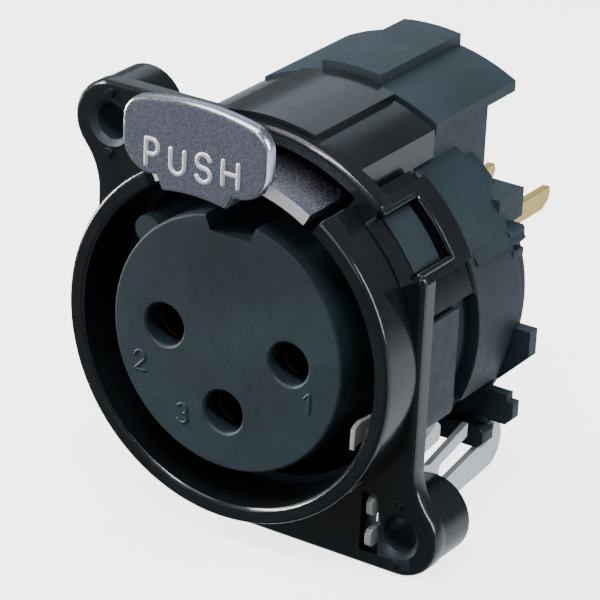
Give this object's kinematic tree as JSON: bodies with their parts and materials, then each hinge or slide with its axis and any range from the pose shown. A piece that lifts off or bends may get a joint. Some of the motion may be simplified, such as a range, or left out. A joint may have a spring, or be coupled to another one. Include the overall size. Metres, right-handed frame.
{
  "type": "xlr panel socket",
  "caption": "Female panel receptacle with a round key-notched insert, a push latch over the rim, a flange with two screw ears and straight rear solder tails.",
  "frame": {"origin": "on the bore axis, in the front face of the mounting flange", "axes": "-Y along the bore towards the plug, +Z towards the push tab, +X to the right seen from the front, the side the plug comes from"},
  "size_m": [0.026, 0.0337, 0.0285],
  "materials": {
    "front_housing": "glossy black moulded plastic",
    "rear_body": "matt dark slate moulded plastic",
    "contact_insert": "matt dark slate moulded plastic",
    "contacts": "gold plated",
    "earth_contact": "bright tinned sheet",
    "latch_lever": "nickel plated casting",
    "latch_spring": "spring wire"
  },
  "bodies": {
    "receptacle": {"front_housing": "front_housing", "rear_body": "rear_body", "contact_insert": "contact_insert", "contact_1": "contacts", "contact_2": "contacts", "contact_3": "contacts", "earth_contact": "earth_contact", "latch_spring": "latch_spring"},
    "latch": {"latch_lever": "latch_lever"}
  },
  "joints": [
    {"name": "latch_rock", "type": "hinge", "parent": "receptacle", "child": "latch", "pos_m": [0, 0.0054, 0.0099], "axis": [-1, 0, 0], "range_deg": [0, 7.5], "stiffness_Nm_per_rad": 0.3, "springref_deg": -1.72, "deforming": ["latch_spring"]}
  ]
}
